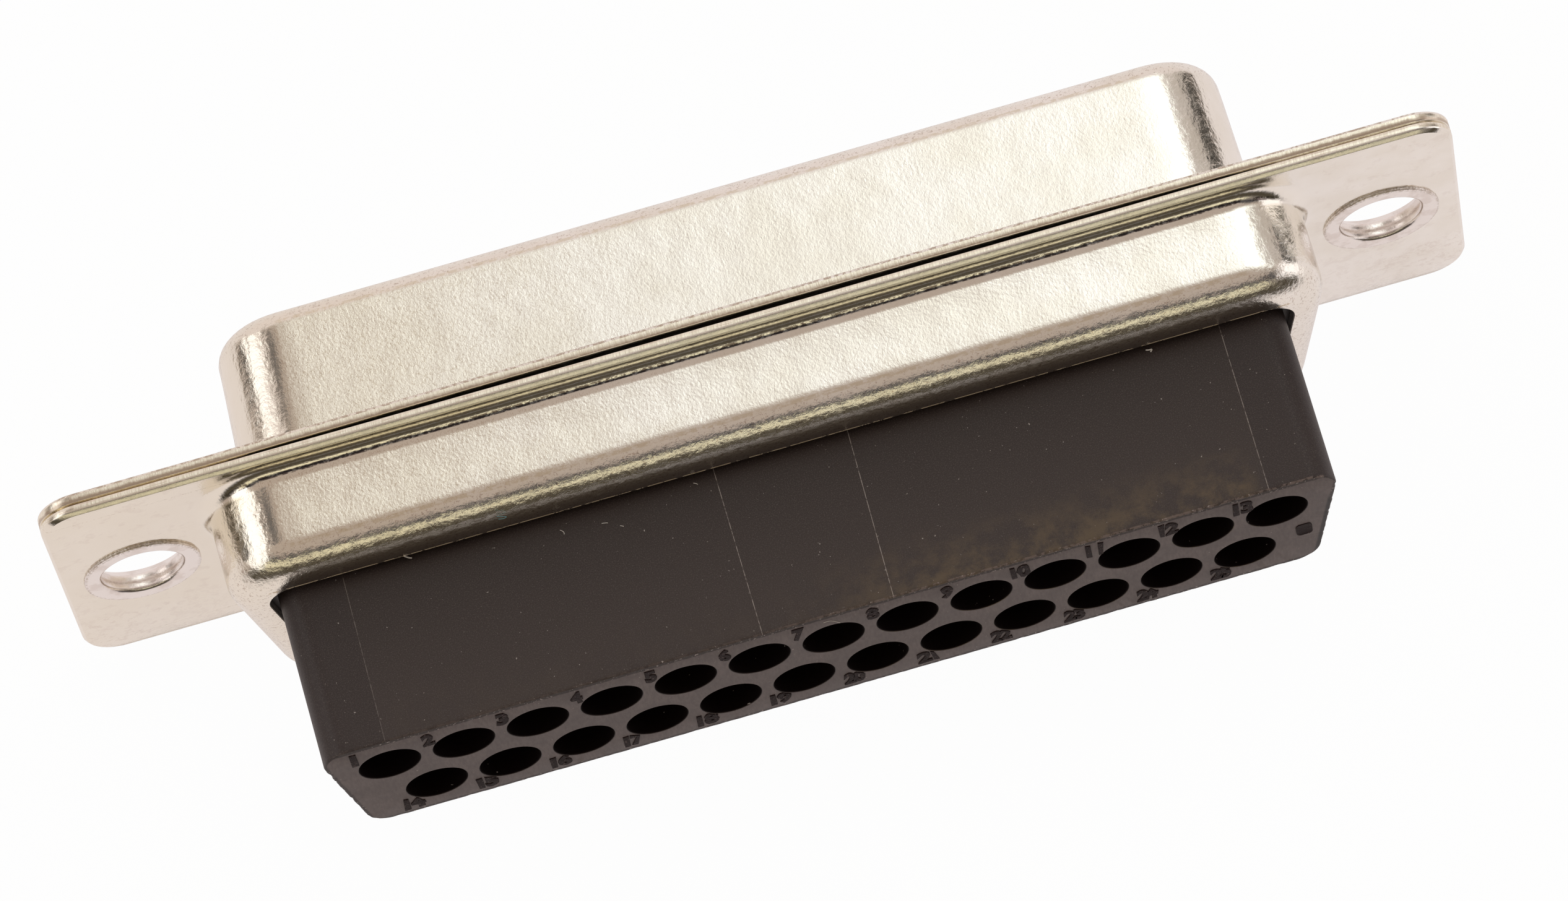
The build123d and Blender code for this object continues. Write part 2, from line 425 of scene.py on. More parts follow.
# %% Colour of the plating
def plating_colour(s):
    """Pale tin, yellower towards -x, with brown cracks on the flats and pits on the ends."""
    tone = s.spots(0.35, 0.35, 0.65, detail=3.0, rough=0.6, shift=(3, 1, 8))
    color = s.mix(tone, (0.88, 0.84, 0.76), (0.93, 0.90, 0.84))
    color = s.mix(s.step(s.x, -4.0, -17.0, 0.0, 0.7), color, (0.87, 0.81, 0.69))
    vein = s.off(s.noise(7.0, stretch=(1, 0.7, 1), detail=3.0, shift=(4, 4, 9)), 0.5)
    dull_end = s.step(s.x, 2.0, -14.0, 0.10, 0.55)
    color = s.mix(s.times(s.step(vein, 0.030, 0.004), dull_end, s.level), color, (0.56, 0.46, 0.34))
    pits = s.spots(9.0, 0.53, 0.66, detail=4.0, rough=0.75, shift=(1, 6, 2))
    return s.mix(s.times(pits, s.bent, s.ends, 0.7), color, (0.46, 0.37, 0.30))


def ear_stains(s, color):
    """Faint brown clouds on the ears, stronger along their lower edge."""
    out = s.off(s.x)
    cloud = s.spots(1.5, 0.53, 0.64, detail=6.0, rough=0.7, shift=(8, 2, 3))
    stain = s.times(s.spots(3.2, 0.50, 0.60, detail=6.0, rough=0.75, shift=(2, 2, 2)),
                    s.step(s.z, -2.6, -3.6))
    ears = s.most(s.step(out, 20.6, 21.4, 0.0, 0.14), s.times(s.step(out, 21.5, 23.5), stain, 0.25))
    return s.mix(s.times(s.most(cloud, stain), ears), color, (0.60, 0.48, 0.42))


def worked_lines(s, color):
    """Broken lines where the sheet was worked, rolled edge and start of the lip, and painted shade
    in the root.
    """
    rolled = s.times(s.step(s.z, 6.10, 6.17), s.step(s.y, -0.17, -0.08),
                     s.spots(5.0, 0.44, 0.56, 0.0, 0.8, detail=5.0, rough=0.75))
    color = s.mix(rolled, color, (0.42, 0.33, 0.24))
    drop = s.math("SUBTRACT", s.top, s.height)
    border = s.times(s.step(drop, 0.012, 0.022), s.step(drop, 0.060, 0.042),
                     s.step(s.lean, s.side - 3.3, s.side - 3.8, 0.0, 0.4),
                     s.spots(5.0, 0.40, 0.56, stretch=(0.7, 1, 1), detail=4.0, rough=0.7,
                             shift=(6, 6, 3)),
                     s.math("SUBTRACT", 1.0, s.flange))
    color = s.mix(border, color, (0.60, 0.50, 0.30))
    # Painted shade: a dark broken band along the concave root fillet of the rear shell.
    root_shade = s.times(s.step(s.off(s.y, -1.175), 0.075, 0.050), s.bent,
                    s.step(s.lean, s.side - 1.0, s.side - 2.5),
                    s.spots(7.0, 0.60, 0.46, stretch=(0.6, 1, 1), detail=4.0, rough=0.7,
                            shift=(1, 3, 3)))
    return s.mix(root_shade, color, (0.20, 0.165, 0.15))


# %% Plated sheet
def plated_sheet(name, top, side):
    """The whole finish: bright plating, duller at bends and rims, and a burr at the opening."""
    s = Plating(name, top, side)
    color = worked_lines(s, ear_stains(s, plating_colour(s)))
    rim = s.times(s.step(s.height, 5.92, 6.05), s.step(s.y, -0.45, -0.55, 0.0, 0.14))
    rough = s.spots(2.2, 0.3, 0.7, 0.09, 0.15, detail=4.0, rough=0.6)
    rough = s.math("ADD", s.math("ADD", rough, s.times(s.bent, s.ends, 0.05)), rim)
    burr = s.times(s.step(s.y, -4.89, -4.905), s.step(s.height, 3.91, 3.89),
                   s.step(s.height, 3.78, 3.81), s.spots(3.0, 0.40, 0.50, detail=4.0, rough=0.7))
    color = s.mix(burr, color, (0.90, 0.74, 0.55))
    return s.finish(color, rough, s.step(burr, 0.0, 1.0, 1.0, 0.25), plating_relief(s))


FRONT_PLATED = plated_sheet("plated_front", FRONT_H / 2, 19.2)
REAR_PLATED = plated_sheet("plated_rear", REAR_H / 2, 20.6)


# %% [markdown]
# ## Sheared edge
#
# The flanges were cut out in a press. A sheared edge has a bright band with fine lines across
# it, then a torn, brownish one where the sheet broke. It is a finish of its own, because it
# lies in a band 0.4 mm wide that the plating's grain is far too coarse for.


# %% Sheared edge
def sheared_edge():
    s = Shader("sheared_edge")
    streak = s.noise(13.0, stretch=(1, 0.06, 0.3), detail=3.0, rough=0.6)
    lines = s.noise(24.0, stretch=(0.03, 1, 1), detail=2.0, rough=0.5)
    bend = s.bump(lines, 0.002, normal=s.bump(streak, 0.004))
    wandering = s.uneven(s.y, 0.30, 4.0, stretch=(1, 0.3, 1), detail=5.0, rough=0.7)
    torn = s.step(s.off(wandering, -0.20), 0.14, 0.04)
    color = s.mix(s.step(streak, 0.35, 0.7), (0.93, 0.88, 0.75), (0.80, 0.73, 0.60))
    color = s.mix(s.times(torn, 0.85), color, (0.52, 0.43, 0.34))
    reddish = s.times(s.step(lines, 0.58, 0.66), s.step(s.y, -0.42, -0.50, 0.1, 0.6))
    color = s.mix(reddish, color, (0.62, 0.48, 0.40))
    return s.finish(color, 0.26, 1.0, bend)


SHEARED = sheared_edge()


# %% [markdown]
# ## The drawn shells
#
# Each shell is one sheet: a flange plate with a D cup drawn from its middle. Solidify could
# thicken a single skin, but the fillets inside and outside a drawn cup have different
# radii. So the profile goes from the flange up the outside of the cup, over its rounded end,
# in through the window and back along the inside, one sheet thickness deeper. way is the
# cup's direction along y: 1 on the front shell and -1 on the rear one.

# %% Profiles of a cup
LAND = 0.03


def outside_profile(cup_y, end_y, end_r, way):
    """Up the outside, as (out, y): a strip of flange, root fillet, wall and rounded end."""
    profile = [(ROOT_R + LAND, cup_y)]
    profile += arc_path(ROOT_R, cup_y + way * ROOT_R, ROOT_R, -90 * way, -180 * way, 8)
    profile += [(0, end_y - way * (end_r + 0.6)), (0, end_y - way * end_r)]
    return profile + arc_path(-end_r, end_y - way * end_r, end_r, 0, 90 * way, 12)[1:]


def inside_profile(mouth_y, inside_y, end_r, way):
    """Back along the inside, as (out, y): rounded end, wall, root fillet and flange."""
    inner_r, mouth_r = end_r - SHEET, ROOT_R + SHEET
    profile = arc_path(-end_r, inside_y - way * inner_r, inner_r, 90 * way, 0, 6)
    profile += [(-SHEET, mouth_y + way * mouth_r)]
    profile += arc_path(ROOT_R, mouth_y + way * mouth_r, mouth_r, -180 * way, -90 * way, 8)[1:]
    return profile + [(ROOT_R + LAND, mouth_y)]


def drawn_cup(bm, size, flange, end_y, end_r, opening, way):
    """A cup with its window. Returns its root rings, outside and inside."""
    cup_y, mouth_y = flange
    inside_y = end_y - way * SHEET
    outside = sweep_profile(bm, d_ring(bm, *size, SHELL_R, cup_y),
                            outside_profile(cup_y, end_y, end_r, way))
    lip = sweep(bm, d_ring(bm, *opening, end_y),
                [(-0.03, end_y - way * 0.03), (-0.03, end_y - way * (SHEET - 0.02)),
                 (0.0, inside_y)])
    bmesh.ops.bridge_loops(bm, edges=edges_of(outside[-1]) + edges_of(lip[0]))
    inside = sweep_profile(bm, d_ring(bm, *size, SHELL_R, inside_y),
                           inside_profile(mouth_y, inside_y, end_r, way))
    bmesh.ops.bridge_loops(bm, edges=edges_of(lip[-1]) + edges_of(inside[0]))
    return outside[0], inside[-1]


# %% [markdown]
# ## The flange round a cup
#
# The flange is a plate with rounded corners and two holes for the eyelets. The front
# flange's edge is rolled over and the rear one's is cut with a chamfer, so a rim is swept as
# the cup was. Both faces are then filled between rings, with no seam where they meet it.

# %% Flange
ROLL = 0.14
EDGE_RINGS = slice(6, 9)


def rim_profile(cup_y, mouth_y, way):
    """The flange's edge, as (out, y), from the face beside the cup to the other face."""
    if way > 0:
        profile = arc_path(0, cup_y - ROLL, ROLL, 90, 0, 6)[1:]
    else:
        profile = [(0.008, cup_y + 0.003), (0.016, cup_y + 0.010), (0.112, cup_y + 0.124),
                   (0.127, cup_y + 0.148), (0.136, cup_y + 0.175), (ROLL, cup_y + 0.20)]
    return profile + [(ROLL, mouth_y + way * 0.05), (ROLL - 0.015, mouth_y + way * 0.02),
                      (ROLL - 0.05, mouth_y)]


def flange_plate(bm, flange, way, outside_root, inside_root):
    """Plate from its rim to the cup's root. Its edge gets the second material."""
    cup_y, mouth_y = flange
    rim = box_ring(bm, FLANGE_X - 2 * ROLL, FLANGE_Z - 2 * ROLL, FLANGE_R - ROLL, cup_y)
    rims = sweep(bm, rim, rim_profile(cup_y, mouth_y, way))
    holes = [sweep(bm, circle_ring(bm, x, 0, HOLE_R, cup_y), [(0, mouth_y)])
             for x in (-HOLE_X, HOLE_X)]
    cup_face = fill_between(bm, [rims[0], outside_root] + [h[0] for h in holes])
    mouth_face = fill_between(bm, [rims[-1], inside_root] + [h[-1] for h in holes])
    edge = {v for ring in rims[EDGE_RINGS] for v in ring}
    for f in bm.faces:
        if sum(v in edge for v in f.verts) >= 3:
            f.material_index = 1
    print("flat faces", len(cup_face), len(mouth_face))


# %% [markdown]
# ## Both shells
#
# Two eyelets clamp the flanges at their ears, so their long sides bow apart a little in the
# middle. The front cup is slightly narrower at its end and off centre. Both are small moves
# of the finished mesh, because a bend would otherwise be repeated in every ring.

# %% Drawn shells
BOW_REACH, BOW_FADE = 20.0, 2.2
TAPER, OFF_CENTRE = 0.0105, 0.12


def press(bm, cup_y, bow):
    """Bow the flange between its rivets, and narrow and shift the front cup."""
    for v in bm.verts:
        near = max(0.0, 1 - abs(v.co.y - cup_y) / BOW_FADE)
        v.co.y += bow * near * max(0.0, 1 - (v.co.x / BOW_REACH) ** 2)
        rise = min(max((v.co.y - 0.3) / 5.8, 0.0), 1.0)
        v.co.x = v.co.x * (1 - TAPER * rise) + OFF_CENTRE * min(rise * 8, 1.0)


def drawn_shell(name, node, size, flange, end_y, end_r, opening, bow, plating):
    """One shell of the given size, end, window and bow."""
    bm = bmesh.new()
    way = 1 if end_y > flange[0] else -1
    roots = drawn_cup(bm, size, flange, end_y, end_r, opening, way)
    flange_plate(bm, flange, way, *roots)
    press(bm, flange[0], bow)
    return finish_piece(bm, name, [plating, SHEARED], node)


drawn_shell("front_shell_sheet", "front_shell", (FRONT_W, FRONT_H), FRONT_FLANGE, FRONT_Y, FRONT_R,
            (FRONT_W - 2.2, FRONT_H - 2.2, 1.5), 0.09, FRONT_PLATED)
drawn_shell("rear_shell_sheet", "rear_shell", (REAR_W, REAR_H), REAR_FLANGE, REAR_Y, REAR_R,
            (BODY_W + 0.7, BODY_H + 0.7, 1.0), -0.06, REAR_PLATED)


# %% [markdown]
# ## Finish of the eyelets
#
# The eyelets are plated as the shells are, but pinker. Their rim splits a little as it is
# rolled over, which leaves it rough and brown, and the bore keeps marks of the tool.


# %% Finish of the eyelets
def plated_eyelet():
    s = Shader("plated_eyelet")
    out = s.math("SUBTRACT", s.off(s.x), HOLE_X)
    radius = s.math("SQRT", s.math("ADD", s.times(out, out), s.times(s.z, s.z)))
    rim, throat = s.step(radius, 2.06, 2.14), s.step(radius, 1.62, 1.57)
    torn = s.noise(10.0, detail=4.0, rough=0.65)
    bend = s.bump(s.times(torn, s.most(rim, s.times(throat, 0.35))), 0.03)
    bend = s.bump(s.noise(9.0, detail=2.0), 0.002, normal=bend)
    mottle = s.spots(1.2, 0.45, 0.62, detail=4.0, rough=0.6)
    color = s.mix(mottle, (0.90, 0.85, 0.81), (0.80, 0.73, 0.68))
    brown = s.times(rim, s.step(torn, 0.45, 0.62, 0.0, 0.8))
    return s.finish(s.mix(brown, color, (0.58, 0.50, 0.42)), 0.20, 1.0, bend)


EYELET = plated_eyelet()

# %% [markdown]
# ## Eyelets
#
# Each eyelet is a short tube whose ends are rolled over the ears. A bevelled tube would have
# even rims. So a half section is drawn by extruding a vertex from point to point, one full
# spin makes the ring, and noise roughens its rear rim.

# %% Eyelets
BORE, SHANK, RIM = 1.55, 1.90, 2.20
HEAD = 0.13
MOUTH_R = 0.20


def draw_section(bm, points):
    """A closed half section, drawn by extruding a vertex to each turning point."""
    last = bmesh.ops.create_vert(bm, co=points[0])["vert"][0]
    first = last
    for p in points[1:]:
        last = bmesh.ops.extrude_vert_indiv(bm, verts=[last])["verts"][0]
        last.co = p
    bm.edges.new((last, first))


def eyelet_section():
    """(radius, y) from the rolled rear mouth over the rim, down the shank, and up the bore."""
    seat = REAR_FLANGE[0]
    back = seat - HEAD
    points = arc_path(BORE + MOUTH_R, back + MOUTH_R, MOUTH_R, 190, 262, 6)
    points += [(RIM - 0.16, back + 0.006), (RIM - 0.06, back + 0.014), (RIM - 0.020, back + 0.036),
               (RIM - 0.028, back + 0.062), (RIM - 0.004, back + 0.084), (RIM, seat - 0.004)]
    points += [(RIM - 0.01, seat), (SHANK, seat), (SHANK, -0.30), (RIM - 0.01, -0.005)]
    points += [(RIM - 0.03, 0.0), (BORE + 0.32, 0.0), (BORE + 0.28, -0.01), (BORE + 0.03, -0.27)]
    points += [(BORE, -0.32), (BORE, -0.60), (BORE + 0.012, -0.62), (BORE + 0.014, -0.80)]
    return points


def eyelet(name, node, x):
    bm = bmesh.new()
    draw_section(bm, [Vector((x + r, y, 0)) for r, y in eyelet_section()])
    bmesh.ops.spin(bm, geom=bm.verts[:] + bm.edges[:], cent=(x, 0, 0), axis=(0, 1, 0),
                   angle=2 * math.pi, steps=128, use_merge=True)
    for v in bm.verts:
        away = Vector((v.co.x - x, 0, v.co.z))
        if away.length > RIM - 0.05 and v.co.y < REAR_FLANGE[0] - 0.01:
            rough = noise.noise(Vector((v.co.x * 5, v.co.y * 12, v.co.z * 5)))
            v.co += away.normalized() * rough * 0.020 - Vector((0, 0.008 * abs(rough), 0))
    return finish_piece(bm, name, [EYELET], node)


eyelet("eyelet_left_ring", "eyelet_left", -HOLE_X)
eyelet("eyelet_right_ring", "eyelet_right", HOLE_X)


# %% [markdown]
# ## Black moulding
#
# The housing is a warm black plastic with a fine grit, pale freckles, a few specks of dust
# and dull smudges near the rear edge. Thin broken lines run along its wide face, where the
# slides of the mould met. They are far thinner than its faces, so they are painted and not
# cut. Each is given by its x at the shell, its x at the rear edge, and its strength.

# %% Black moulding
PARTING_LINES = ((-2.51, -2.45, 0.5), (2.53, 2.445, 0.5), (-16.44, -16.52, 0.2),
                 (16.48, 16.46, 0.45))


def parting_mark(s, shell_x, rear_x, strength):
    """One thin broken line along the wide face."""
    slope = (rear_x - shell_x) / (BODY_Y - REAR_Y)
    middle = s.math("MULTIPLY_ADD", s.y, slope, shell_x - REAR_Y * slope)
    off = s.uneven(s.off(s.x, middle), 0.02, 2.0, detail=4.0, shift=(1, 1, 5))
    line = s.step(off, 0.030, 0.014, 0.0, strength)
    gaps = s.spots(4.0, 0.40, 0.54, 0.15, 1.0, detail=4.0, rough=0.7)
    return s.times(line, gaps, s.step(s.z, 3.2, 3.3))


def worn_edge(s, color):
    """The rear edge of the wide face is rubbed pale towards +x, and crumbs cling to it."""
    edge = s.times(s.step(s.y, BODY_Y + 0.11, BODY_Y + 0.05), s.step(s.z, 3.2, 3.3))
    share = s.step(s.x, -6.0, 4.0, 0.25, 1.0)
    worn = s.spots(5.0, 0.42, 0.56, 0.0, share, detail=4.0, rough=0.7)
    color = s.mix(s.times(edge, worn, 0.85), color, (0.17, 0.128, 0.112))
    crumbs = s.spots(9.0, 0.68, 0.71, 0.0, 0.7, detail=2.0, shift=(3, 3, 3))
    return s.mix(s.times(edge, crumbs), color, (0.50, 0.44, 0.41))


def black_moulding():
    s = Shader("black_moulding")
    out = s.off(s.x)
    # Painted shade and sheen: the face is coloured darker next to the shell, which shades it, and
    # lighter towards the rear edge.
    color = s.mix(s.step(s.y, -5.2, -10.8), (0.024, 0.0148, 0.0126), (0.038, 0.0262, 0.0232))
    color = s.mix(s.step(out, 16.47, 16.53, 0.0, 0.5), color, (0.021, 0.0125, 0.0125))
    freckle = s.spots(21.0, 0.50, 0.70, 0.0, 0.8, detail=3.0, rough=0.95, shift=(5, 2, 7))
    color = s.mix(freckle, color, (0.100, 0.082, 0.072))
    smudge = s.times(s.spots(0.9, 0.40, 0.64, detail=8.0, rough=0.72, shift=(2, 4, 0)),
                     s.step(s.y, -9.0, -11.5), s.step(s.x, -2.0, 5.0, 0.08, 1.0),
                     s.step(out, 16.4, 15.6), 0.9)
    color = s.mix(smudge, color, (0.105, 0.074, 0.043))
    speck = s.spots(6.5, 0.725, 0.745, 0.0, 0.7, detail=3.0, rough=0.6, shift=(9, 1, 4))
    color = s.mix(speck, color, (0.42, 0.38, 0.35))
    for mark in PARTING_LINES:
        color = s.mix(parting_mark(s, *mark), color, (0.50, 0.44, 0.40))
    grit = s.bump(s.noise(20.0, detail=3.0, rough=0.7), 0.007)
    return s.finish(worn_edge(s, color), 0.47, 0.0, grit, Specular_IOR_Level=0.40)


# %% [markdown]
# ## Rear face and cavity walls
#
# The rear face is greyer than the sides and a little brushed, and its border is chipped and
# dark. Chips don't follow the mesh, so the border is drawn from the distance to the edge,
# with noise added. The cavities are deep, so their walls carry painted shade: they are coloured
# nearly black, with a few pale spots of painted glint.


# %% Rear face and cavity walls
def chipped_border(s, color):
    """A dark wandering border, with pale bits, and one broad chip at the +x end."""
    lean = s.math("MULTIPLY_ADD", s.z, -SLANT, s.off(s.x))
    sides = s.uneven(s.off(s.z), 0.16, 5.0, detail=4.0, rough=0.7, shift=(2, 0, 6))
    ends = s.uneven(lean, 0.16, 4.0, detail=4.0, rough=0.7, shift=(3, 0, 6))
    rim = s.most(s.step(sides, 3.29, 3.37), s.step(ends, 18.38, 18.46))
    color = s.mix(s.times(rim, 0.8), color, (0.022, 0.014, 0.013))
    bits = s.times(rim, s.spots(9.0, 0.60, 0.66, detail=3.0, rough=0.6, shift=(4, 0, 2)))
    color = s.mix(bits, color, (0.36, 0.31, 0.29))
    right_end = s.step(s.math("MULTIPLY_ADD", s.z, -SLANT, s.x), 18.24, 18.34)
    return s.mix(s.times(right_end, s.step(s.z, 1.8, 1.2)), color, (0.016, 0.012, 0.012))


def moulded_face():
    s = Shader("moulded_face")
    brush = s.noise(9.0, stretch=(1, 1, 0.25), detail=4.0, rough=0.7)
    color = s.mix(s.step(brush, 0.3, 0.7), (0.118, 0.094, 0.091), (0.160, 0.130, 0.126))
    patchy = s.spots(0.8, 0.42, 0.62, 0.0, 0.35, detail=4.0, rough=0.6, shift=(1, 0, 5))
    color = s.mix(patchy, color, (0.085, 0.070, 0.069))
    crumbs = s.spots(6.0, 0.715, 0.74, 0.0, 0.7, detail=3.0, rough=0.6, shift=(8, 3, 1))
    color = chipped_border(s, s.mix(crumbs, color, (0.50, 0.44, 0.42)))
    return s.finish(color, 0.60, 0.0, s.bump(brush, 0.007))


def cavity_wall():
    s = Shader("cavity_wall")
    # Painted shade: the walls are coloured far darker than the housing's black, as a deep cavity
    # gets little light, and the glint spots are painted highlights.
    shade_mottle = s.noise(5.0, detail=3.0)
    color = s.mix(shade_mottle, (0.0030, 0.0008, 0.0006), (0.0060, 0.0030, 0.0026))
    glint = s.spots(4.0, 0.74, 0.78, detail=2.0, shift=(6, 2, 2))
    color = s.mix(glint, color, (0.30, 0.27, 0.25))
    return s.finish(color, 0.75, 0.0, s.bump(shade_mottle, 0.01), Specular_IOR_Level=0.05)


MOULDED, MOULDED_FACE, CAVITY = black_moulding(), moulded_face(), cavity_wall()

# %% [markdown]
# ## Black housing
#
# The housing is one moulding: a D prism with a cavity for each contact. A Boolean could cut
# the 25 holes, but it leaves untidy faces round them. Here each cavity is swept inwards from
# its round mouth through chamfer, bore, throat and clip pocket, and the rear face is filled
# around all the mouths in one go. Its edge has many points, so that it can be worn unevenly.

# %% Black housing
MOUTH = 1.18
SIDE_PROFILE = [(0.035, BODY_Y + 0.02), (0.055, BODY_Y + 0.06), (0.06, BODY_Y + 0.14),
                (0.06, BODY_Y + 0.5), (0.06, -8.0), (0.06, SHOULDER_Y)]
CAVITY_PROFILE = [(-0.02, BODY_Y + 0.015), (-0.05, BODY_Y + 0.04), (-0.06, BODY_Y + 0.09),
                  (-0.06, -7.03), (-0.23, -7.03), (-0.23, -6.23), (-0.08, -6.23),
                  (-0.08, JOINT_Y)]


def ragged(co):
    """The rear edge is worn on the wide side and carries a chipped flash on the narrow one."""
    if co.y < BODY_Y + 0.2:
        slow = noise.noise(Vector((co.x * 2.5, 3.1, co.z * 2.5)))
        quick = noise.noise(Vector((co.x * 8.0, 1.7, co.z * 8.0)))
        chip = max(0.0, noise.noise(Vector((co.x * 4.0, 7.7, co.z * 4.0))) - 0.15)
        amount = 0.018 * slow + 0.014 * quick
        outer = 1 if co.x > 0 else -1
        if abs(co.x) > 17.2:
            co.x += outer * (amount - 0.10 * chip)
        if co.z < -3.2:
            co.z -= amount - 0.07 * chip
        elif co.z > 3.2:
            co.z += amount
    return co


def rear_housing():
    bm = bmesh.new()
    prism = d_ring(bm, BODY_W - 0.12, BODY_H - 0.12, BODY_R - 0.06, BODY_Y, arc=10,
                   cuts=(300, 56, 300, 56))
    prism = sweep(bm, prism, SIDE_PROFILE)
    for ring in prism:
        for v in ring:
            v.co = ragged(v.co)
    shoulder = d_ring(bm, REAR_W - 0.9 - 1.8, REAR_H - 0.9 - 1.8, 1.25, SHOULDER_Y, arc=6)
    wall = sweep(bm, shoulder, arc_path(0, SHOULDER_Y + 0.9, 0.9, -90, 0, 6)[1:] + [(0.9, JOINT_Y)])
    fill_between(bm, [wall[0], prism[-1]])
    cavities = [sweep(bm, circle_ring(bm, x, z, MOUTH, BODY_Y, 56), CAVITY_PROFILE)
                for x, z in CAVITIES]
    rear_face = fill_between(bm, [prism[0]] + [c[0] for c in cavities])
    fill_between(bm, [wall[-1]] + [c[-1] for c in cavities])
    bores = {v for cavity in cavities for ring in cavity[1:] for v in ring}
    for f in bm.faces:
        if all(v in bores for v in f.verts):
            f.material_index = 2
    for f in rear_face:
        f.material_index = 1
    return finish_piece(bm, "rear_housing", [MOULDED, MOULDED_FACE, CAVITY],
                        "rear_insulator")


rear_housing()


# %% [markdown]
# ## Numbers beside the cavities
#
# The mould leaves a raised number beside every cavity, 1 to 13 along the wide side and 14 to
# 25 along the narrow one, so that each contact finds its place. Bump alone would leave no
# edge to catch the light. So each is drawn as text, made a mesh, squeezed to its real size
# and laid on the rear face, and where it meets a cavity it stops at the rim.


# %% Finish and joining of the numbers
def raised_black():
    s = Shader("raised_black")
    pitted = s.noise(10.0, detail=4.0, rough=0.7)
    color = s.mix(s.step(pitted, 0.57, 0.68), (0.018, 0.0095, 0.0088), (0.150, 0.112, 0.108))
    return s.finish(color, 0.50, 0.0, s.bump(pitted, 0.045), Specular_IOR_Level=0.06)


def mesh_of(source):
    """A clean bmesh of a text or curve object."""
    bm = bmesh.new()
    bm.from_mesh(bpy.data.meshes.new_from_object(source))
    bmesh.ops.remove_doubles(bm, verts=bm.verts, dist=1e-4)
    return bm


def join(bm, part):
    """Add a finished part to bm."""
    mesh = bpy.data.meshes.new("part")
    part.to_mesh(mesh)
    part.free()
    bm.from_mesh(mesh)


NUMBER = raised_black()

# %% Numbers
KEEP_OFF = 1.19


def letters_of(text):
    """The text as a thick, slightly rounded curve."""
    letters = bpy.data.curves.new("number", "FONT")
    letters.body = text
    letters.resolution_u = 3
    letters.extrude = 0.010
    letters.offset = 0.040
    letters.space_character = 0.85
    letters.bevel_depth = 0.024
    letters.bevel_resolution = 1
    return bpy.data.objects.new("number", letters)


def numeral(bm, text, x, z, width, height, hole):
    """One number centred on x and z, squeezed to a width and height, kept off its hole."""
    one = mesh_of(letters_of(text))
    low = Vector([min(v.co[i] for v in one.verts) for i in range(3)])
    high = Vector([max(v.co[i] for v in one.verts) for i in range(3)])
    size, middle = high - low, (high + low) / 2
    for v in one.verts:
        across = (v.co.x - middle.x) * width / size.x
        rise = (v.co.y - middle.y) * height / size.y
        lift = (v.co.z - low.z) * 0.050 / size.z
        wobble = noise.noise(Vector((x + across * 4, z + rise * 4, 2.2))) * 0.06
        away = Vector((x + across + wobble - hole[0], 0, z + rise + wobble - hole[1]))
        if away.length < KEEP_OFF:
            away *= KEEP_OFF / away.length
        v.co = (hole[0] + away.x, BODY_Y + 0.012 - lift, hole[1] + away.z)
    join(bm, one)


def raised_numbers():
    bm = bmesh.new()
    for i, (x, z) in enumerate(CAVITIES, 1):
        if i <= len(wide_row):
            width = 0.26 if i == 1 else 0.46 if i < 10 else 0.74
            numeral(bm, str(i), x - 1.20, z + 1.19, width, 1.05, (x, z))
        else:
            numeral(bm, str(i), x - 1.00, z - 1.20, 0.80, 0.98, (x, z))
    return finish_piece(bm, "cavity_numbers", [NUMBER])


raised_numbers()

# %% [markdown]
# ## Inspection mark
#
# A small raised square with a round boss stands at the end of the narrow row. It is extruded
# from one face, pressed into a square with soft corners, and its boss is an inset on top,
# because a bevelled cube would have no boss to inset.


# %% Inspection mark
def inspection_mark():
    bm = bmesh.new()
    x, z = 17.50, -0.81
    half, corner_reach, tall = 0.30, 0.37, 1.5
    turn = Matrix.Translation((x, BODY_Y + 0.01, z)) @ Matrix.Rotation(math.pi / 2, 4, "X")
    made = bmesh.ops.create_circle(bm, cap_ends=True, segments=24, radius=0.36, matrix=turn)
    for v in made["verts"]:
        a = math.atan2(v.co.z - z, v.co.x - x)
        reach = min(half / max(abs(math.cos(a)), abs(math.sin(a))), corner_reach)
        v.co.x, v.co.z = x + reach * math.cos(a), z + tall * reach * math.sin(a)
    face = bm.faces[:][0]
    grown = bmesh.ops.extrude_face_region(bm, geom=[face], use_keep_orig=True)["geom"]
    raised = [g for g in grown if isinstance(g, bmesh.types.BMFace)]
    bmesh.ops.translate(bm, vec=(0, -0.045, 0), verts=raised[0].verts[:])
    bmesh.ops.inset_individual(bm, faces=raised, thickness=0.07, depth=-0.018)
    return finish_piece(bm, "inspection_mark", [NUMBER])


inspection_mark()

# %% [markdown]
# ## Lint
#
# The connector has been lying about, and a few pale fibres and crumbs cling to it. Hair
# would be far too much for eight threads, so each is a short curve with a round bevel, made
# a mesh and laid on the surface below it.


# %% One fibre
def lint_finish(name, tone):
    s = Shader(name)
    color = s.mix(s.noise(14.0, detail=2.0), tone, tuple(0.8 * c for c in tone))
    return s.finish(color, 0.8)


def fibre(bm, points, thickness):
    """A short thread through a few points."""
    line = bpy.data.curves.new("fibre", "CURVE")
    line.dimensions = "3D"
    spline = line.splines.new("NURBS")
    spline.points.add(len(points) - 1)
    for point, co in zip(spline.points, points):
        point.co = (*co, 1)
    spline.order_u = 3
    spline.use_endpoint_u = True
    line.resolution_u = 4
    line.bevel_depth = thickness
    line.bevel_resolution = 1
    line.use_fill_caps = True
    join(bm, mesh_of(bpy.data.objects.new("fibre", line)))


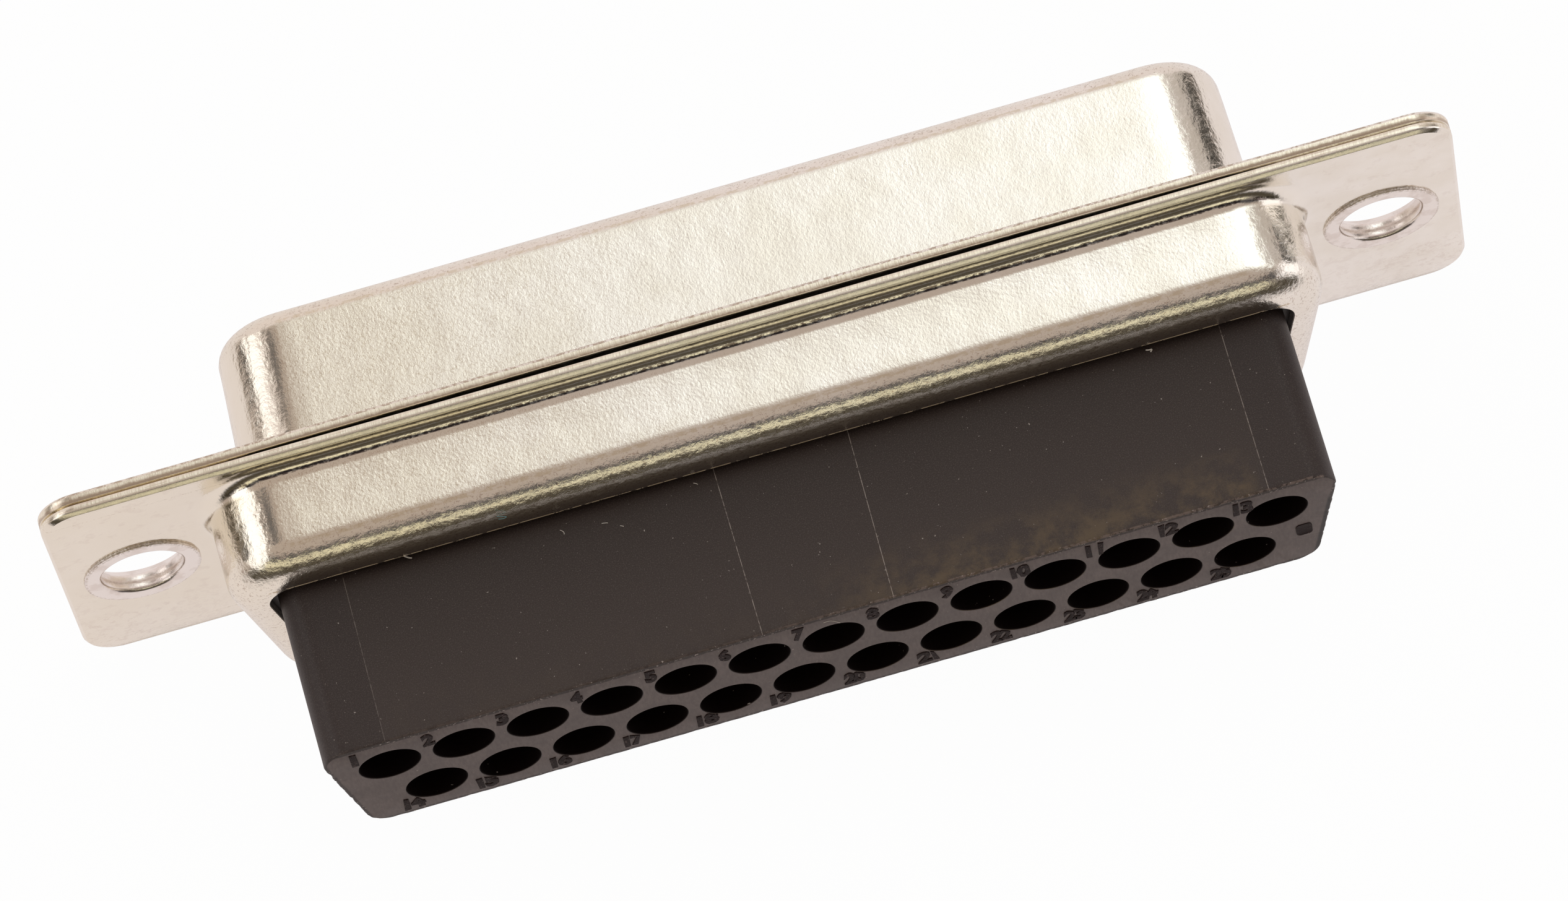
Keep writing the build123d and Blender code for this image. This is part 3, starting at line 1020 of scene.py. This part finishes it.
# %% Lint
THREAD, CRUMB = 0.012, 0.028
pale, teal = bmesh.new(), bmesh.new()
top, rear = BODY_H / 2 + 0.012, BODY_Y - 0.010
for x, y, dx, dy, bend in ((-8.43, -5.47, 0.10, -0.20, 0.10), (-6.92, -5.66, 0.22, -0.05, 0.05),
                           (-6.30, -5.95, 0.12, -0.06, 0.0), (-3.34, -5.12, 0.14, -0.10, 0.04)):
    middle = (x + dx / 2 + bend, y + dy / 2, top + 0.01)
    fibre(pale, [(x, y, top), middle, (x + dx, y + dy, top)], THREAD)
fibre(pale, [(-0.23, rear, 3.02), (-0.05, rear - 0.02, 3.10), (0.12, rear, 2.95),
             (0.36, rear, 2.60)], THREAD)
fibre(pale, [(-14.09, -4.93, 3.86), (-14.00, -4.96, 3.70), (-13.86, -4.95, 3.55)], 0.030)
fibre(pale, [(13.70, -4.96, top), (13.80, -5.02, top + 0.05), (13.95, -4.98, top),
             (13.84, -5.08, top)], CRUMB)
fibre(teal, [(-10.47, -4.93, 5.00), (-10.30, -4.93, 4.86), (-10.10, -4.94, 4.74),
             (-10.28, -4.95, 4.66), (-10.45, -4.94, 4.74)], THREAD)
PALE, TEAL = (0.72, 0.68, 0.63), (0.16, 0.34, 0.36)
finish_piece(pale, "lint_pale", [lint_finish("lint_pale", PALE)])
finish_piece(teal, "lint_teal", [lint_finish("lint_teal", TEAL)])


# %% [markdown]
# ## Finishes of the carried-over pieces
#
# The front insulator and the spring clips inside the cavities show as the CAD made them, so
# they keep their own meshes and only need a finish: the housing's black, and drawn bronze
# strip with fine lines along it.


# %% Carried-over pieces
def spring_bronze():
    s = Shader("spring_bronze")
    drawn = s.bump(s.noise(12.0, stretch=(1, 0.1, 1), detail=2.0), 0.003)
    color = s.mix(s.noise(2.0, detail=3.0), (0.70, 0.52, 0.28), (0.80, 0.62, 0.36))
    return s.finish(color, 0.30, 1.0, drawn)


BRONZE = spring_bronze()
finishes = {name: BRONZE for name in nodes if name.startswith("contact_clip")}
finishes["front_insulator"] = MOULDED
for name, finish in finishes.items():
    nodes[name].data.materials.clear()
    nodes[name].data.materials.append(finish)
print("nodes with a new finish", len(finishes))

# %% [markdown]
# ## Floor
#
# A plain sheet of paper. Seen by the camera it is all but white, and a small share stays
# diffuse, which keeps a faint shadow. For glossy rays it glows as well, so the metal mirrors
# it, and it fades towards the camera's side, where a real sheet would end.

# %% Floor
FLOOR_Z = -0.00626
bm = bmesh.new()
bmesh.ops.create_grid(bm, x_segments=8, y_segments=8, size=1.2)
floor_mesh = bpy.data.meshes.new("floor")
bm.to_mesh(floor_mesh)
bm.free()
floor = bpy.data.objects.new("floor", floor_mesh)
floor.location.z = FLOOR_Z
bpy.context.scene.collection.objects.link(floor)

# %% Paper
paper = bpy.data.materials.new("paper")
paper.use_nodes = True
paper.node_tree.nodes.clear()
p = Nodes(paper.node_tree)
seen = p.add("ShaderNodeLightPath").outputs
place = p.add("ShaderNodeSeparateXYZ")
p.link(p.add("ShaderNodeTexCoord").outputs["Object"], place.inputs[0])
near = p.step(place.outputs[1], -0.10, -0.045, 0.07, 0.92, smooth=False)


def glowing(color, strength):
    glow = p.add("ShaderNodeEmission")
    p.put(color, glow.inputs["Color"])
    p.put(strength, glow.inputs["Strength"])
    return glow.outputs[0]


def blend_of(share, a, b):
    blend = p.add("ShaderNodeMixShader")
    for value, socket in zip((share, a, b), blend.inputs):
        p.put(value, socket)
    return blend.outputs[0]


matt = p.add("ShaderNodeBsdfDiffuse")
p.put((0.90, 0.88, 0.87), matt.inputs["Color"])
mirrored = blend_of(p.times(seen["Is Glossy Ray"], 0.85), matt.outputs[0],
                    glowing((0.95, 0.87, 0.86), near))
looked_at = p.times(p.most(seen["Is Camera Ray"], seen["Is Transmission Ray"]), 0.975)
surface = blend_of(looked_at, mirrored, glowing((1.0, 1.0, 1.0), 1.0))
p.link(surface, p.add("ShaderNodeOutputMaterial").inputs["Surface"])
floor_mesh.materials.append(paper)
print("paper nodes", len(paper.node_tree.nodes))


# %% [markdown]
# ## The room's light
#
# Bright metal shows nothing but what is round it, so the light comes from the world itself:
# a plain tone with soft patches over it. Area lamps would each leave a hard rectangle in the
# plating. A patch is given in degrees by its azimuth, which turns from +Y to +X, elevation,
# half sizes and softness, and by its colour. Later ones lie over earlier ones.

# %% Room
ROOM_TONE = (0.48, 0.40, 0.35)
PATCHES = (
    (180, 22, (80, 32), (12, 12), (0.25, 0.215, 0.19)),
    (0, 5, (52, 42), (6, 6), (0.83, 0.74, 0.72)),
    (-38, 59, (11, 7), (4, 4), (0.16, 0.145, 0.14)),
    (40, 61, (38, 13), (22, 8), (1.50, 1.54, 1.50)),
    (57, 32, (10, 22), (8, 8), (0.56, 0.50, 0.46)),
    (66, 14, (8, 11), (4, 4), (0.055, 0.05, 0.045)),
    (-90, 36, (40, 15), (4, 4), (1.45, 1.40, 1.38)),
    (-67, 14, (9, 7), (2, 2), (0.10, 0.09, 0.085)),
    (98, 17, (24, 18), (4, 4), (1.25, 1.18, 1.17)),
    (180, 48, (66, 9), (3, 3), (0.075, 0.070, 0.075)),
    (194, 33, (44, 7), (6, 4), (0.92, 0.84, 0.60)),
    (180, 8, (72, 14), (6, 6), (0.075, 0.062, 0.044)),
)
world = bpy.data.worlds.new("room")
bpy.context.scene.world = world
world.use_nodes = True
world.node_tree.nodes.clear()
room = Nodes(world.node_tree)
way = room.add("ShaderNodeSeparateXYZ")
room.link(room.add("ShaderNodeTexCoord").outputs["Generated"], way.inputs[0])
turn = room.math("DEGREES", room.math("ARCTAN2", way.outputs[0], way.outputs[1]))
climb = room.math("DEGREES", room.math("ARCSINE", way.outputs[2]))


def patch(azimuth, elevation, half, soft):
    """1 inside a box of directions and 0 outside it."""
    off = room.off(room.math("WRAP", room.math("SUBTRACT", turn, azimuth), 180, -180))
    over = room.off(climb, elevation)
    sides = room.step(off, half[0] - soft[0], half[0] + soft[0], 1.0, 0.0)
    ends = room.step(over, half[1] - soft[1], half[1] + soft[1], 1.0, 0.0)
    return room.times(sides, ends)


light = ROOM_TONE
for azimuth, elevation, half, soft, color in PATCHES:
    light = room.mix(patch(azimuth, elevation, half, soft), light, color)
rays = room.add("ShaderNodeLightPath").outputs
looked_at = room.most(rays["Is Camera Ray"], rays["Is Transmission Ray"])
light = room.mix(looked_at, light, (1.0, 1.0, 1.0))
background = room.add("ShaderNodeBackground")
room.put(light, background.inputs["Color"])
room.link(background.outputs[0], room.add("ShaderNodeOutputWorld").inputs["Surface"])
print("room patches", len(PATCHES))

# %% [markdown]
# ## Fill lamp
#
# One large soft panel overhead lifts the black housing. It is hidden from glossy rays, so
# that it leaves no mark on the metal.

# %% Fill lamp
SIZE, RADIANCE, DISTANCE = 1.6, 0.20, 1.4
azimuth, elevation = math.radians(30), math.radians(75)
fill_data = bpy.data.lights.new("fill", "AREA")
fill_data.shape = "RECTANGLE"
fill_data.size, fill_data.size_y = SIZE, SIZE
fill_data.color = (1.0, 0.97, 0.95)
fill_data.energy = RADIANCE * math.pi * SIZE * SIZE
fill = bpy.data.objects.new("fill", fill_data)
fill.location = Vector((math.sin(azimuth) * math.cos(elevation),
                        math.cos(azimuth) * math.cos(elevation), math.sin(elevation))) * DISTANCE
fill.rotation_euler = fill.location.to_track_quat("Z", "Y").to_euler()
fill.visible_glossy = False
bpy.context.scene.collection.objects.link(fill)
print("fill lamp", round(fill_data.energy, 3), "W")

# %% [markdown]
# ## Camera
#
# The camera stands where the photograph was taken from. Framing by eye would never bring 25
# cavities onto their places, so its place and lens were solved from the centres of the
# cavity mouths and eyelets, whose spacing is standard. right, up and back are its own axes.

# %% Camera
SENSOR, FOCAL_PIXELS, PHOTO_WIDTH = 36, 18698.98, 2533
camera_data = bpy.data.cameras.new("camera")
camera_data.sensor_width = SENSOR
camera_data.lens = SENSOR * FOCAL_PIXELS / PHOTO_WIDTH
camera_data.clip_start = 0.01
camera = bpy.data.objects.new("camera", camera_data)
right = Vector((0.96170991, -0.25500937, -0.10042052))
up = Vector((0.27380279, 0.87779849, 0.39306722))
back = Vector((-0.01208684, -0.40551205, 0.91400978))
stand = Matrix.Translation((-0.00492057, -0.17437169, 0.38555527))
camera.matrix_world = stand @ Matrix((right, up, back)).transposed().to_4x4()
bpy.context.scene.collection.objects.link(camera)
bpy.context.scene.camera = camera
bpy.context.scene.view_settings.view_transform = "Standard"
print("lens", round(camera_data.lens, 1), "mm")

# %% [markdown]
